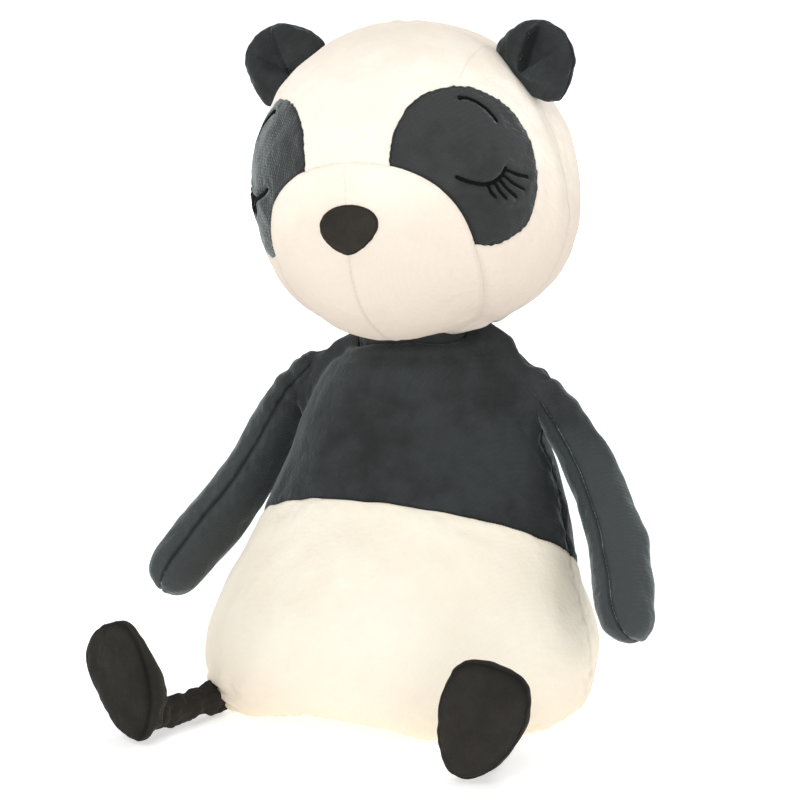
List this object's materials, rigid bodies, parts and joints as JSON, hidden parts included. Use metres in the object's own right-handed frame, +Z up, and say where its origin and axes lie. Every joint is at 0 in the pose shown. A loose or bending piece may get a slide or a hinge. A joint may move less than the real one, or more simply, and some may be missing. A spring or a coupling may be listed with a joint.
{
  "type": "plush panda",
  "caption": "Sitting stuffed panda with a big domed-muzzle head, closed stitched eyes, folded ears, sausage arms and thin legs ending in upright padded feet.",
  "frame": {"origin": "middle of the flat underside the panda sits on", "axes": "+Z up, the face looks towards -Y, the panda's own left is +X"},
  "size_m": [0.238, 0.1947, 0.3058],
  "materials": {
    "cream_plush": "short nap",
    "dark_plush": "short nap",
    "sole_plush": "short nap",
    "nose_velvet": "velvet",
    "thread": "twisted thread",
    "stuffing": "loose fibre",
    "pouch_cloth": "plain weave",
    "beans": "small pellets",
    "label_tape": "satin tape"
  },
  "bodies": {
    "torso": {"chest_panel": "dark_plush", "upper_back_panel": "dark_plush", "belly_panel": "cream_plush", "lower_back_panel": "cream_plush", "base_panel": "cream_plush", "body_stuffing": "stuffing", "bean_pouch": "pouch_cloth", "bean_filling": "beans", "care_label": "label_tape"},
    "neck": {"neck_band": "dark_plush", "neck_stuffing": "stuffing"},
    "head": {"head_stuffing": "stuffing", "forehead_panel": "cream_plush", "nose_pad": "nose_velvet", "cheek_panel_left": "cream_plush", "head_back_left": "cream_plush", "muzzle_panel_left": "cream_plush", "eye_patch_left": "dark_plush", "eyelid_stitching_left": "thread", "brow_stitching_left": "thread", "cheek_panel_right": "cream_plush", "head_back_right": "cream_plush", "muzzle_panel_right": "cream_plush", "eye_patch_right": "dark_plush", "eyelid_stitching_right": "thread", "brow_stitching_right": "thread"},
    "left_ear": {"ear_front_left": "dark_plush", "ear_back_left": "dark_plush", "ear_stuffing_left": "stuffing"},
    "left_arm": {"arm_outer_panel_left": "dark_plush", "arm_inner_panel_left": "dark_plush", "arm_stuffing_left": "stuffing"},
    "left_leg": {"leg_panel_left": "dark_plush", "leg_stuffing_left": "stuffing"},
    "left_foot": {"foot_upper_left": "dark_plush", "foot_sole_left": "sole_plush", "foot_stuffing_left": "stuffing"},
    "right_ear": {"ear_front_right": "dark_plush", "ear_back_right": "dark_plush", "ear_stuffing_right": "stuffing"},
    "right_arm": {"arm_outer_panel_right": "dark_plush", "arm_inner_panel_right": "dark_plush", "arm_stuffing_right": "stuffing"},
    "right_leg": {"leg_panel_right": "dark_plush", "leg_stuffing_right": "stuffing"},
    "right_foot": {"foot_upper_right": "dark_plush", "foot_sole_right": "sole_plush", "foot_stuffing_right": "stuffing"}
  },
  "joints": [
    {"name": "head_turn", "type": "hinge", "parent": "torso", "child": "neck", "pos_m": [0, 0.021, 0.16], "axis": [0, 0, 1], "range_deg": [-30, 30], "stiffness_Nm_per_rad": 0.06},
    {"name": "head_nod", "type": "hinge", "parent": "neck", "child": "head", "pos_m": [0, 0.021, 0.16], "axis": [1, 0, 0], "range_deg": [-10, 10], "stiffness_Nm_per_rad": 0.6},
    {"name": "left_ear_fold", "type": "hinge", "parent": "head", "child": "left_ear", "pos_m": [0.04909, 0.017, 0.2823], "axis": [0.8281, 0, -0.5606], "range_deg": [-30, 30], "stiffness_Nm_per_rad": 0.01},
    {"name": "left_arm_raise", "type": "hinge", "parent": "torso", "child": "left_arm", "pos_m": [0.0575, 0.0245, 0.1415], "axis": [0, -1, 0], "range_deg": [-3, 80], "stiffness_Nm_per_rad": 0.02},
    {"name": "left_leg_swing", "type": "hinge", "parent": "torso", "child": "left_leg", "pos_m": [0.0685, -0.054, 0.0082], "axis": [-1, 0, 0], "range_deg": [-20, 45], "stiffness_Nm_per_rad": 0.03},
    {"name": "left_foot_rock", "type": "hinge", "parent": "left_leg", "child": "left_foot", "pos_m": [0.07576, -0.08311, 0.0082], "axis": [-1, 0, 0], "range_deg": [-12, 15], "stiffness_Nm_per_rad": 0.03},
    {"name": "right_ear_fold", "type": "hinge", "parent": "head", "child": "right_ear", "pos_m": [-0.0611, 0.017, 0.26897], "axis": [0.6704, 0, 0.742], "range_deg": [-30, 30], "stiffness_Nm_per_rad": 0.01},
    {"name": "right_arm_raise", "type": "hinge", "parent": "torso", "child": "right_arm", "pos_m": [-0.0575, 0.0245, 0.1415], "axis": [0, 1, 0], "range_deg": [-3, 80], "stiffness_Nm_per_rad": 0.02},
    {"name": "right_leg_swing", "type": "hinge", "parent": "torso", "child": "right_leg", "pos_m": [-0.0685, -0.054, 0.0082], "axis": [-1, 0, 0], "range_deg": [-20, 45], "stiffness_Nm_per_rad": 0.03},
    {"name": "right_foot_rock", "type": "hinge", "parent": "right_leg", "child": "right_foot", "pos_m": [-0.07576, -0.08311, 0.0082], "axis": [-1, 0, 0], "range_deg": [-12, 15], "stiffness_Nm_per_rad": 0.03}
  ]
}
